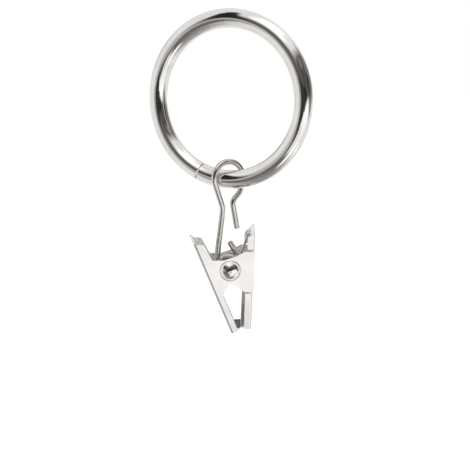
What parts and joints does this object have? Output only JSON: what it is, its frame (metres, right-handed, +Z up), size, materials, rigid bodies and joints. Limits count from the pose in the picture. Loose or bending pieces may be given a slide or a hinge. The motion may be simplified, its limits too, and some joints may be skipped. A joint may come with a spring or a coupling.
{
  "type": "curtain ring with clip",
  "caption": "Round metal curtain ring with a bent wire hook looped over it and a sprung sheet-metal clip hanging from the hook's eye.",
  "frame": {"origin": "centre of the ring, on the axis of the curtain rod that passes through it", "axes": "+Z up, +Y along the curtain rod, the ring in the XZ plane and the clip hanging below it along -Z"},
  "size_m": [0.048, 0.0173, 0.0879],
  "materials": {
    "ring_plate": "bright nickel plate on a steel rod",
    "wire_plate": "bright nickel plate on drawn steel wire",
    "sheet_plate": "bright nickel plate on stamped sheet steel",
    "rivet_plate": "bright nickel plate on a steel rivet",
    "spring_steel": "plated spring steel wire"
  },
  "bodies": {
    "ring": {"ring": "ring_plate"},
    "hook": {"hook": "wire_plate"},
    "inner_jaw": {"inner_jaw": "sheet_plate"},
    "outer_jaw": {"outer_jaw": "sheet_plate", "rivet": "rivet_plate", "spring": "spring_steel"}
  },
  "joints": [
    {"name": "hook_swing", "type": "hinge", "parent": "ring", "child": "hook", "pos_m": [0, 0, -0.0215], "axis": [1, 0, 0], "range_deg": [-100, 100]},
    {"name": "clip_swing", "type": "hinge", "parent": "hook", "child": "inner_jaw", "pos_m": [0, 0, -0.046], "axis": [0.5, -0.866, 0], "range_deg": [-8, 13]},
    {"name": "jaw_open", "type": "hinge", "parent": "inner_jaw", "child": "outer_jaw", "pos_m": [0, 0, -0.046], "axis": [-0.5, 0.866, 0], "range_deg": [0, 26], "stiffness_Nm_per_rad": 0.05, "springref_deg": -34.38, "deforming": ["spring"]}
  ]
}
